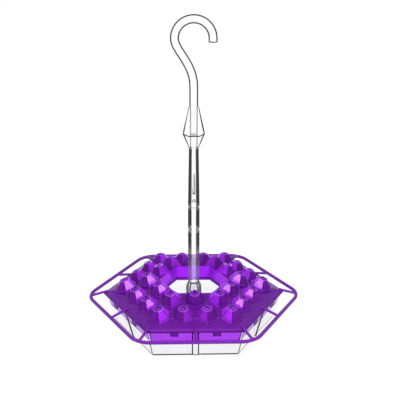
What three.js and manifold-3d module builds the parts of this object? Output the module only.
// Hanging hummingbird feeder: a clear six-sided tray with a built-in ant moat, a purple cover of
// faceted feeding ports, a perch frame round it, and a clear sectional rod that ends in a hook.
// Millimetres, +Z up. The origin is the centre of the tray's underside, with corners on the X axis.
import * as THREE from 'three';
import { mergeVertices } from 'three/addons/utils/BufferGeometryUtils.js';
import Module from 'manifold-3d';

const wasm = await Module();
wasm.setup();

// Fits
const GAP = 0.3; // between pieces that seat on each other
const SLIP = 0.3; // radial play of a spigot in its bore
const OVERLAP = 0.6; // how far a joined feature sinks into the wall that carries it

// Hexagons are given by their corner radius, and APOTHEM turns that into the half width over flats
const SIDES = 6;
const APOTHEM = Math.cos(Math.PI / SIDES);
const CORNER_ON_X = Math.PI / 6;
const CORNER_ON_Y = 0;
const ROUND_SIDES = 24;

// Tray
const TRAY_FOOT_RADIUS = 92.7;
const TRAY_FLARE = 9.7; // how much wider the rim is than the foot
const TRAY_RIM_RADIUS = TRAY_FOOT_RADIUS + TRAY_FLARE;
const TRAY_HEIGHT = 33.3;
const TRAY_WALL = 2.3;
const TRAY_FLOOR = 2.6;
const TRAY_EDGE = 1.2; // chamfer round the underside
const RIB_WIDTH = 6.5;
const RIB_PROUD = 1.4;
const MOAT_RADIUS = 39.6;
const MOAT_WALL = 2.0;
const MOAT_HEIGHT = 37.5;
const PLINTH_FOOT_RADIUS = 10.2;
const PLINTH_RADIUS = 9.6;
const PLINTH_HEIGHT = 30.7;
const STUB_RADIUS = 6.0;
const STUB_LENGTH = 8.5;

// Cover
const FLANGE_OVERHANG = 1.9; // past the tray's rim
const FLANGE_RADIUS = TRAY_RIM_RADIUS + FLANGE_OVERHANG;
const FLANGE_THICKNESS = 2.5;
const DECK_RISE = 0.2545; // height gained for each millimetre of corner radius
const DECK_THICKNESS = 2.2;
const COVER_WALL = 2.0;
const INNER_WALL_DROP = 19.1;
const SKIRT_DEPTH = 14.1;
const SKIRT_WALL = 1.9;
const SKIRT_PLAY = 0.6;
const TAB_WIDTH = 9;
const TAB_DEPTH = 4.3;
const TAB_THICKNESS = 1.25;
const TAB_OFFSET = 22.6; // from the middle of a side

// Feeding ports: two rings of a hexagonal lattice, counted in lattice steps from the centre
const PORT_RINGS = [2, 3];
const PORT_MARGIN = 26.3; // from the outer ring's corner ports to the corners of the flange
const PORT_PITCH = (FLANGE_RADIUS - PORT_MARGIN) / Math.max(...PORT_RINGS);
const GEM_LEAN = Math.atan(DECK_RISE); // outwards, so that the ports stand square to the deck
const GEM_FOOT_RADIUS = 14.3;
const GEM_FOOT_DEPTH = 3; // how far the lower facets run on under the deck
const GEM_GIRDLE_RADIUS = 10.2;
const GEM_GIRDLE_HEIGHT = 3.6;
const GEM_TOP_RADIUS = 5.2;
const GEM_HEIGHT = 9.9;
const GEM_WALL = 1.8;
const PORT_RADIUS = 2.1;
const PORT_RIM_WALL = 0.9;
const PORT_RIM_HEIGHT = 0.8;
const PORT_SIDES = 10;
const RIDGE_HALF_WIDTH = 7;
const RIDGE_HEIGHT = 1.5;

// Perch
const PERCH_REACH = 21.3; // from the corners of the flange to the perch's sharp corners
const PERCH_RADIUS = FLANGE_RADIUS + PERCH_REACH;
const PERCH_BAR = 4;
const PERCH_BEVEL = 1.1;
const PERCH_CORNER = 26; // outer corner radius
const PERCH_DROP = 3.8; // below the edge of the cover
const SPOKE_RADIUS = 1.5;
const SPOKE_SIDES = 8;
const SPOKE_LAP = 5; // how far a spoke lies over the cover
const SPOKE_LIFT = 0.6;

// Rod
const ROD_RADIUS = 6.5;
const ROD_CHAMFER = 1.3;
const SPIGOT_RADIUS = 4.2;
const COLLAR_RADIUS = 9;
const COLLAR_NECK = 6.9;
const COLLAR_SIDE_HEIGHT = 13;
const COLLAR_SHOULDER = 5.6;
const COLLAR_WEB = 1.5;
const LOWER_ROD_LENGTH = 64.4;
const LOWER_SPIGOT = 6.4;
const COUPLER_LENGTH = 27.3;
const COUPLER_WEB = 1.5;
const UPPER_ROD_LENGTH = 68.8;
const UPPER_ROD_TOP_RADIUS = 5.3;
const SLOT_LENGTH = 25.1;
const SLOT_WIDTH = 3.2;
const SLOT_TIP_WIDTH = 1.6;
const SLOT_DEPTH = 1.6;
const SLOT_START = 16.8; // above the foot of the upper rod
const BUMP_RADIUS = 2.3;
const BUMP_PROUD = 0.9;
const BUMP_START = 9.1;

// Bead and hook
const BEAD_RADIUS = 12.2;
const BEAD_FOOT_RADIUS = 5.7;
const BEAD_TOP_RADIUS = 5.5;
const BEAD_LOWER_HEIGHT = 15.4;
const BEAD_UPPER_HEIGHT = 30.2;
const BEAD_WEB = 1.7;
const STEM_SPIGOT_RADIUS = 3.9;
const HOOK_WIRE_RADIUS = 4.8;
const HOOK_STEM = 20.8;
const HOOK_SWAY_HEIGHT = 50.8; // the height over which the stem sways out to the crook
const HOOK_CROOK_RADIUS = 20;
const HOOK_TIP = 3.8;
const HOOK_WIRE_SIDES = 12;
const HOOK_STEPS = 48;

const clearPlastic = new THREE.MeshStandardMaterial({
  color: 0xe9eef0,
  roughness: 0.06,
  metalness: 0,
  transparent: true,
  opacity: 0.35,
});
const purplePlastic = new THREE.MeshStandardMaterial({
  color: 0x7a17c4,
  roughness: 0.12,
  metalness: 0,
  transparent: true,
  opacity: 0.8,
});

// A three.js geometry as a closed solid: only its positions are kept, welded where they meet
function toSolid(geometry) {
  const bare = geometry.clone();
  bare.deleteAttribute('normal');
  bare.deleteAttribute('uv');
  const welded = mergeVertices(bare);
  const corners = welded.index.array;
  const triangles = [];
  for (let i = 0; i < corners.length; i += 3) {
    const [a, b, c] = [corners[i], corners[i + 1], corners[i + 2]];
    if (a !== b && b !== c && c !== a) triangles.push(a, b, c);
  }
  return new wasm.Manifold(new wasm.Mesh({
    numProp: 3,
    vertProperties: Float32Array.from(welded.attributes.position.array),
    triVerts: Uint32Array.from(triangles),
  }));
}

// One named piece of the feeder, from a finished solid
function piece(name, solid, material) {
  const { vertProperties, triVerts } = solid.getMesh();
  const geometry = new THREE.BufferGeometry();
  geometry.setAttribute('position', new THREE.BufferAttribute(vertProperties, 3));
  geometry.setIndex(new THREE.BufferAttribute(triVerts, 1));
  geometry.computeVertexNormals();
  const mesh = new THREE.Mesh(geometry, material);
  mesh.name = name;
  return mesh;
}

// A profile of [radius, height] points turned about the Z axis and then moved to its stand. The
// profile runs up its outer side. With six sides it gives a prism with its corners on the profile.
function turned(profile, sides, firstCorner = CORNER_ON_X, stand = new THREE.Matrix4()) {
  const points = profile.map(([radius, height]) => new THREE.Vector2(radius, height));
  const geometry = new THREE.LatheGeometry(points, sides, firstCorner);
  geometry.rotateX(Math.PI / 2);
  geometry.applyMatrix4(stand);
  return toSolid(geometry);
}

function cylinder(radius, low, high, sides = ROUND_SIDES, stand = new THREE.Matrix4()) {
  return turned([[0, low], [radius, low], [radius, high], [0, high]], sides, 0, stand);
}

// A ring with a closed profile: the first point is repeated to close it
function ring(profile, sides, firstCorner) {
  return turned([...profile, profile[0]], sides, firstCorner);
}

// A box on the side of the hexagon that faces the given angle. The box runs outwards from near to
// far, is centred at a distance along the side, and stands between two heights.
function sideBox(angle, near, far, along, width, low, high) {
  const geometry = new THREE.BoxGeometry(far - near, width, high - low);
  geometry.translate((near + far) / 2, along, (low + high) / 2);
  geometry.rotateZ(angle);
  return toSolid(geometry);
}

function joined(solids) {
  return solids.reduce((whole, solid) => whole.add(solid));
}

const middleAngles = Array.from({ length: SIDES }, (_, side) => ((side + 0.5) * 2 * Math.PI) / SIDES);
const cornerAngles = Array.from({ length: SIDES }, (_, side) => (side * 2 * Math.PI) / SIDES);

// Heights that several pieces share
const flangeLow = TRAY_HEIGHT + GAP;
const flangeHigh = flangeLow + FLANGE_THICKNESS;
const coverHoleRadius = MOAT_RADIUS + GAP / APOTHEM;
const deckHeight = (radius) => flangeHigh + (FLANGE_RADIUS - radius) * DECK_RISE;
const trayRadius = (height) =>
  TRAY_FOOT_RADIUS + ((TRAY_RIM_RADIUS - TRAY_FOOT_RADIUS) * height) / TRAY_HEIGHT;

// The tray: flared outer wall, moat wall and the post for the rod, all on one floor
function makeTray() {
  const pan = turned([
    [0, 0],
    [TRAY_FOOT_RADIUS - TRAY_EDGE, 0],
    [trayRadius(TRAY_EDGE), TRAY_EDGE],
    [TRAY_RIM_RADIUS, TRAY_HEIGHT],
    [TRAY_RIM_RADIUS - TRAY_WALL, TRAY_HEIGHT],
    [trayRadius(TRAY_FLOOR) - TRAY_WALL, TRAY_FLOOR],
    [MOAT_RADIUS, TRAY_FLOOR],
    [MOAT_RADIUS, MOAT_HEIGHT],
    [MOAT_RADIUS - MOAT_WALL, MOAT_HEIGHT],
    [MOAT_RADIUS - MOAT_WALL, TRAY_FLOOR],
    [PLINTH_FOOT_RADIUS, TRAY_FLOOR],
    [PLINTH_RADIUS, PLINTH_HEIGHT],
    [0, PLINTH_HEIGHT],
  ], SIDES);
  const stub = cylinder(STUB_RADIUS, PLINTH_HEIGHT - OVERLAP, PLINTH_HEIGHT + STUB_LENGTH);

  // A flat rib runs up the middle of each side, parallel to the flared wall
  const ribTop = TRAY_HEIGHT - GAP;
  const ribSkin = ring([
    [trayRadius(TRAY_EDGE) - OVERLAP, TRAY_EDGE],
    [trayRadius(TRAY_EDGE) + RIB_PROUD, TRAY_EDGE],
    [trayRadius(ribTop) + RIB_PROUD, ribTop],
    [trayRadius(ribTop) - OVERLAP, ribTop],
  ], SIDES, CORNER_ON_X);
  const ribReach = TRAY_RIM_RADIUS + RIB_PROUD;
  const ribs = middleAngles.map((angle) =>
    ribSkin.intersect(sideBox(angle, 0, ribReach, 0, RIB_WIDTH, 0, TRAY_HEIGHT)));
  return joined([pan, stub, ...ribs]);
}

// Where the ports stand: each ring of the lattice is a hexagon with as many steps to a side. Every
// port leans outwards, a corner port along its corner and the others square to their side.
function portStands(steps) {
  const stands = [];
  cornerAngles.forEach((angle, side) => {
    const next = cornerAngles[(side + 1) % SIDES];
    for (let step = 0; step < steps; step += 1) {
      const x = (steps - step) * Math.cos(angle) + step * Math.cos(next);
      const y = (steps - step) * Math.sin(angle) + step * Math.sin(next);
      const outward = step === 0 ? angle : middleAngles[side];
      const across = new THREE.Vector3(-Math.sin(outward), Math.cos(outward), 0);
      const stand = new THREE.Matrix4().makeRotationAxis(across, GEM_LEAN);
      stand.setPosition(x * PORT_PITCH, y * PORT_PITCH, deckHeight(steps * PORT_PITCH));
      stands.push(stand);
    }
  });
  return stands;
}

// A port is a hollow gem: steep facets up to the girdle, flatter ones to a flat top with a rim
function makeGem(stand) {
  const rimRadius = PORT_RADIUS + PORT_RIM_WALL;
  const gem = turned([
    [0, -GEM_FOOT_DEPTH],
    [GEM_FOOT_RADIUS, -GEM_FOOT_DEPTH],
    [GEM_GIRDLE_RADIUS, GEM_GIRDLE_HEIGHT],
    [GEM_TOP_RADIUS, GEM_HEIGHT],
    [0, GEM_HEIGHT],
  ], SIDES, CORNER_ON_Y, stand);
  const rim = cylinder(rimRadius, GEM_HEIGHT - OVERLAP, GEM_HEIGHT + PORT_RIM_HEIGHT, PORT_SIDES, stand);
  return gem.add(rim);
}

function makeGemHollow(stand) {
  const depth = GEM_FOOT_DEPTH * 2;
  const flare = (GEM_FOOT_RADIUS - GEM_GIRDLE_RADIUS) / (GEM_FOOT_DEPTH + GEM_GIRDLE_HEIGHT);
  return turned([
    [0, -depth],
    [GEM_FOOT_RADIUS - GEM_WALL + flare * (depth - GEM_FOOT_DEPTH), -depth],
    [GEM_GIRDLE_RADIUS - GEM_WALL, GEM_GIRDLE_HEIGHT - GEM_WALL / 2],
    [GEM_TOP_RADIUS - GEM_WALL, GEM_HEIGHT - GEM_WALL],
    [0, GEM_HEIGHT - GEM_WALL],
  ], SIDES, CORNER_ON_Y, stand);
}

// The cover: a low six-sided roof with a wall round the centre hole, a skirt that plugs into the
// tray, tabs that clip over its rim, and the ports
function makeCover() {
  const innerFoot = deckHeight(coverHoleRadius) - INNER_WALL_DROP;
  const underside = (radius) => deckHeight(radius) - DECK_THICKNESS;
  const skirtRadius = TRAY_RIM_RADIUS - TRAY_WALL - SKIRT_PLAY;
  const skirtFoot = flangeLow - SKIRT_DEPTH;
  const skirtFootRadius = trayRadius(skirtFoot) - TRAY_WALL - SKIRT_PLAY;
  const roof = ring([
    [coverHoleRadius - OVERLAP, innerFoot],
    [coverHoleRadius + COVER_WALL, innerFoot],
    [coverHoleRadius + COVER_WALL, underside(coverHoleRadius + COVER_WALL)],
    [skirtRadius - SKIRT_WALL, underside(skirtRadius - SKIRT_WALL)],
    [skirtFootRadius - SKIRT_WALL, skirtFoot],
    [skirtFootRadius, skirtFoot],
    [skirtRadius, flangeLow],
    [FLANGE_RADIUS, flangeLow],
    [FLANGE_RADIUS, flangeHigh],
    [coverHoleRadius - OVERLAP, deckHeight(coverHoleRadius - OVERLAP)],
  ], SIDES, CORNER_ON_X);

  const ridges = PORT_RINGS.map((steps) => {
    const inner = steps * PORT_PITCH - RIDGE_HALF_WIDTH;
    const outer = steps * PORT_PITCH + RIDGE_HALF_WIDTH;
    return ring([
      [inner, deckHeight(inner) - OVERLAP],
      [outer, deckHeight(outer) - OVERLAP],
      [outer, deckHeight(outer) + RIDGE_HEIGHT],
      [inner, deckHeight(inner) + RIDGE_HEIGHT],
    ], SIDES, CORNER_ON_X);
  });

  const flangeHalfWidth = FLANGE_RADIUS * APOTHEM;
  const tabs = middleAngles.flatMap((angle) => [-TAB_OFFSET, TAB_OFFSET].map((along) =>
    sideBox(angle, flangeHalfWidth - TAB_THICKNESS, flangeHalfWidth, along, TAB_WIDTH,
      flangeLow - TAB_DEPTH, flangeLow + OVERLAP)));

  // The centre hole cuts the roof and the ports beside it in one plane
  const stands = PORT_RINGS.flatMap(portStands);
  const roofTop = deckHeight(0) + GEM_HEIGHT;
  const outsideHole = (radius) => ring([
    [radius, 0],
    [PERCH_RADIUS, 0],
    [PERCH_RADIUS, roofTop],
    [radius, roofTop],
  ], SIDES, CORNER_ON_X);
  const gems = joined(stands.map(makeGem));
  const hollows = joined(stands.map(makeGemHollow)).intersect(outsideHole(coverHoleRadius + COVER_WALL));
  const bores = joined(stands.map((stand) =>
    cylinder(PORT_RADIUS, 0, GEM_HEIGHT + 2 * PORT_RIM_HEIGHT, PORT_SIDES, stand)));
  const body = joined([roof, ...ridges, ...tabs, gems]).intersect(outsideHole(coverHoleRadius));
  return body.subtract(hollows).subtract(bores);
}

// A hexagon outline with round corners, where the corner arcs share one centre at every offset
function roundHexagon(path, offset) {
  const centre = PERCH_RADIUS - PERCH_CORNER / APOTHEM;
  const radius = PERCH_CORNER - offset;
  cornerAngles.forEach((angle) => {
    const x = centre * Math.cos(angle);
    const y = centre * Math.sin(angle);
    path.absarc(x, y, radius, angle - Math.PI / SIDES, angle + Math.PI / SIDES, false);
  });
  path.closePath();
  return path;
}

// The perch: a rounded six-sided bar on spokes that lie over the cover's edge. It is cut back
// from the cover by the seating gap.
function makePerch() {
  const height = flangeHigh - PERCH_DROP;
  const outline = roundHexagon(new THREE.Shape(), 0);
  outline.holes.push(roundHexagon(new THREE.Path(), PERCH_BAR));
  const bar = new THREE.ExtrudeGeometry(outline, {
    depth: PERCH_BAR - 2 * PERCH_BEVEL,
    bevelThickness: PERCH_BEVEL,
    bevelSize: PERCH_BEVEL,
    bevelOffset: -PERCH_BEVEL,
    bevelSegments: 2,
    curveSegments: 5,
  });
  bar.translate(0, 0, height - PERCH_BAR / 2 + PERCH_BEVEL);

  const cornerReach = PERCH_RADIUS - PERCH_CORNER / APOTHEM + PERCH_CORNER;
  const spoke = (angle, reach, edge) => {
    const lap = edge - SPOKE_LAP;
    const flangeSlope = DECK_RISE * (FLANGE_RADIUS / edge);
    const start = new THREE.Vector3(lap, 0, flangeHigh + SPOKE_LAP * flangeSlope + SPOKE_LIFT);
    const end = new THREE.Vector3(reach - PERCH_BAR / 2, 0, height);
    const round = new THREE.Shape().absarc(0, 0, SPOKE_RADIUS, 0, 2 * Math.PI, false);
    const rod = new THREE.ExtrudeGeometry(round, {
      steps: 1,
      curveSegments: SPOKE_SIDES / 2,
      extrudePath: new THREE.LineCurve3(start, end),
    });
    rod.rotateZ(angle);
    return toSolid(rod);
  };
  const spokes = [
    ...cornerAngles.map((angle) => spoke(angle, cornerReach, FLANGE_RADIUS)),
    ...middleAngles.map((angle) => spoke(angle, PERCH_RADIUS * APOTHEM, FLANGE_RADIUS * APOTHEM)),
  ];

  const gapRadius = FLANGE_RADIUS + GAP / APOTHEM;
  const coverRoom = turned([
    [0, 0],
    [gapRadius, 0],
    [gapRadius, flangeHigh + GAP],
    [coverHoleRadius, deckHeight(coverHoleRadius) + GAP],
    [0, deckHeight(coverHoleRadius) + GAP],
  ], SIDES);
  return joined([toSolid(bar), ...spokes]).subtract(coverRoom);
}

// Heights up the rod, each from the piece below it
const collarLow = PLINTH_HEIGHT + GAP;
const collarHigh = collarLow + COLLAR_SIDE_HEIGHT + COLLAR_SHOULDER;
const stubHigh = PLINTH_HEIGHT + STUB_LENGTH + GAP;
const lowerRodLow = collarHigh + GAP;
const lowerRodHigh = lowerRodLow + LOWER_ROD_LENGTH;
const couplerLow = lowerRodHigh + GAP;
const couplerHigh = couplerLow + COUPLER_LENGTH;
const couplerSeat = couplerLow + LOWER_SPIGOT + COUPLER_WEB;
const upperRodLow = couplerHigh + GAP;
const upperRodHigh = upperRodLow + UPPER_ROD_LENGTH;
const beadLow = upperRodHigh + GAP;
const beadMiddle = beadLow + BEAD_LOWER_HEIGHT;
const beadHigh = beadMiddle + BEAD_UPPER_HEIGHT;
const hookLow = beadHigh + GAP;

// The collar: a six-sided nut that holds the foot of the rod on the tray's post
function makeCollar() {
  const nut = turned([
    [0, collarLow],
    [COLLAR_RADIUS, collarLow],
    [COLLAR_RADIUS, collarLow + COLLAR_SIDE_HEIGHT],
    [COLLAR_NECK, collarHigh],
    [0, collarHigh],
  ], SIDES);
  const stubBore = cylinder(STUB_RADIUS + SLIP, collarLow - GAP, stubHigh);
  const rodBore = cylinder(SPIGOT_RADIUS + SLIP, stubHigh + COLLAR_WEB, collarHigh + GAP);
  return nut.subtract(stubBore).subtract(rodBore);
}

function makeLowerRod() {
  return turned([
    [0, stubHigh + COLLAR_WEB + GAP],
    [SPIGOT_RADIUS, stubHigh + COLLAR_WEB + GAP],
    [SPIGOT_RADIUS, lowerRodLow],
    [ROD_RADIUS - ROD_CHAMFER, lowerRodLow],
    [ROD_RADIUS, lowerRodLow + ROD_CHAMFER],
    [ROD_RADIUS, lowerRodHigh - ROD_CHAMFER],
    [ROD_RADIUS - ROD_CHAMFER, lowerRodHigh],
    [SPIGOT_RADIUS, lowerRodHigh],
    [SPIGOT_RADIUS, lowerRodHigh + LOWER_SPIGOT],
    [0, lowerRodHigh + LOWER_SPIGOT],
  ], ROUND_SIDES);
}

function makeCoupler() {
  const body = turned([
    [0, couplerLow],
    [ROD_RADIUS - ROD_CHAMFER, couplerLow],
    [ROD_RADIUS, couplerLow + ROD_CHAMFER],
    [ROD_RADIUS, couplerHigh - ROD_CHAMFER],
    [ROD_RADIUS - ROD_CHAMFER, couplerHigh],
    [0, couplerHigh],
  ], ROUND_SIDES);
  const lowerBore = cylinder(SPIGOT_RADIUS + SLIP, couplerLow - GAP, couplerLow + LOWER_SPIGOT);
  const upperBore = cylinder(SPIGOT_RADIUS + SLIP, couplerSeat, couplerHigh + GAP);
  return body.subtract(lowerBore).subtract(upperBore);
}

// The upper rod tapers to the bead. Its front has a drop-shaped recess over a round catch.
function makeUpperRod() {
  const stemTop = beadMiddle - BEAD_WEB / 2 - GAP;
  const body = turned([
    [0, couplerSeat + GAP],
    [SPIGOT_RADIUS, couplerSeat + GAP],
    [SPIGOT_RADIUS, upperRodLow],
    [ROD_RADIUS - ROD_CHAMFER, upperRodLow],
    [ROD_RADIUS, upperRodLow + ROD_CHAMFER],
    [UPPER_ROD_TOP_RADIUS, upperRodHigh],
    [STEM_SPIGOT_RADIUS, upperRodHigh],
    [STEM_SPIGOT_RADIUS, stemTop],
    [0, stemTop],
  ], ROUND_SIDES);
  const surface = (rise) =>
    ROD_RADIUS - ((ROD_RADIUS - UPPER_ROD_TOP_RADIUS) * rise) / UPPER_ROD_LENGTH;

  const drop = new THREE.Shape();
  drop.absarc(0, 0, SLOT_WIDTH / 2, Math.PI, 2 * Math.PI, false);
  drop.absarc(0, SLOT_LENGTH - SLOT_WIDTH, SLOT_TIP_WIDTH / 2, 0, Math.PI, false);
  const recess = new THREE.ExtrudeGeometry(drop, {
    depth: ROD_RADIUS,
    bevelEnabled: false,
    curveSegments: 6,
  });
  recess.rotateX(Math.PI / 2);
  const recessFace = surface(SLOT_START) - SLOT_DEPTH;
  recess.translate(0, -recessFace, upperRodLow + SLOT_START + SLOT_WIDTH / 2);

  const bump = new THREE.SphereGeometry(BUMP_RADIUS, 12, 8);
  const bumpDepth = surface(BUMP_START) + BUMP_PROUD - BUMP_RADIUS;
  bump.translate(0, -bumpDepth, upperRodLow + BUMP_START);
  return body.add(toSolid(bump)).subtract(toSolid(recess));
}

function makeBead() {
  const gem = turned([
    [0, beadLow],
    [BEAD_FOOT_RADIUS, beadLow],
    [BEAD_RADIUS, beadMiddle],
    [BEAD_TOP_RADIUS, beadHigh],
    [0, beadHigh],
  ], SIDES);
  const boreRadius = STEM_SPIGOT_RADIUS + SLIP;
  const lowerBore = cylinder(boreRadius, beadLow - GAP, beadMiddle - BEAD_WEB / 2);
  const upperBore = cylinder(boreRadius, beadMiddle + BEAD_WEB / 2, beadHigh + GAP);
  return gem.subtract(lowerBore).subtract(upperBore);
}

// The hook: a straight stem that sways to the left, then a half circle centred over the rod
function makeHook() {
  const at = (x, z) => new THREE.Vector3(x, 0, z);
  const swayLow = hookLow + HOOK_STEM;
  const crook = swayLow + HOOK_SWAY_HEIGHT;
  const radius = HOOK_CROOK_RADIUS;
  const ease = HOOK_SWAY_HEIGHT / 2;
  const quarter = 0.5523 * radius; // handle length that makes a quarter circle
  const line = new THREE.CurvePath();
  line.add(new THREE.LineCurve3(at(0, hookLow), at(0, swayLow)));
  line.add(new THREE.CubicBezierCurve3(
    at(0, swayLow), at(0, swayLow + ease), at(-radius, crook - ease / 2), at(-radius, crook)));
  line.add(new THREE.CubicBezierCurve3(
    at(-radius, crook), at(-radius, crook + quarter), at(-quarter, crook + radius), at(0, crook + radius)));
  line.add(new THREE.CubicBezierCurve3(
    at(0, crook + radius), at(quarter, crook + radius), at(radius, crook + quarter), at(radius, crook)));
  line.add(new THREE.LineCurve3(at(radius, crook), at(radius, crook - HOOK_TIP)));
  const round = new THREE.Shape().absarc(0, 0, HOOK_WIRE_RADIUS, 0, 2 * Math.PI, false);
  const wire = new THREE.ExtrudeGeometry(round, {
    steps: HOOK_STEPS,
    curveSegments: HOOK_WIRE_SIDES / 2,
    extrudePath: line,
  });
  const spigot = cylinder(STEM_SPIGOT_RADIUS, beadMiddle + BEAD_WEB / 2 + GAP, hookLow + OVERLAP);
  return toSolid(wire).add(spigot);
}

const feeder = new THREE.Group();
feeder.name = 'hummingbird_feeder';
feeder.add(piece('tray', makeTray(), clearPlastic));
feeder.add(piece('cover', makeCover(), purplePlastic));
feeder.add(piece('perch', makePerch(), purplePlastic));
feeder.add(piece('foot_collar', makeCollar(), clearPlastic));
feeder.add(piece('lower_rod', makeLowerRod(), clearPlastic));
feeder.add(piece('rod_coupler', makeCoupler(), clearPlastic));
feeder.add(piece('upper_rod', makeUpperRod(), clearPlastic));
feeder.add(piece('bead', makeBead(), clearPlastic));
feeder.add(piece('hook', makeHook(), clearPlastic));

export default feeder;
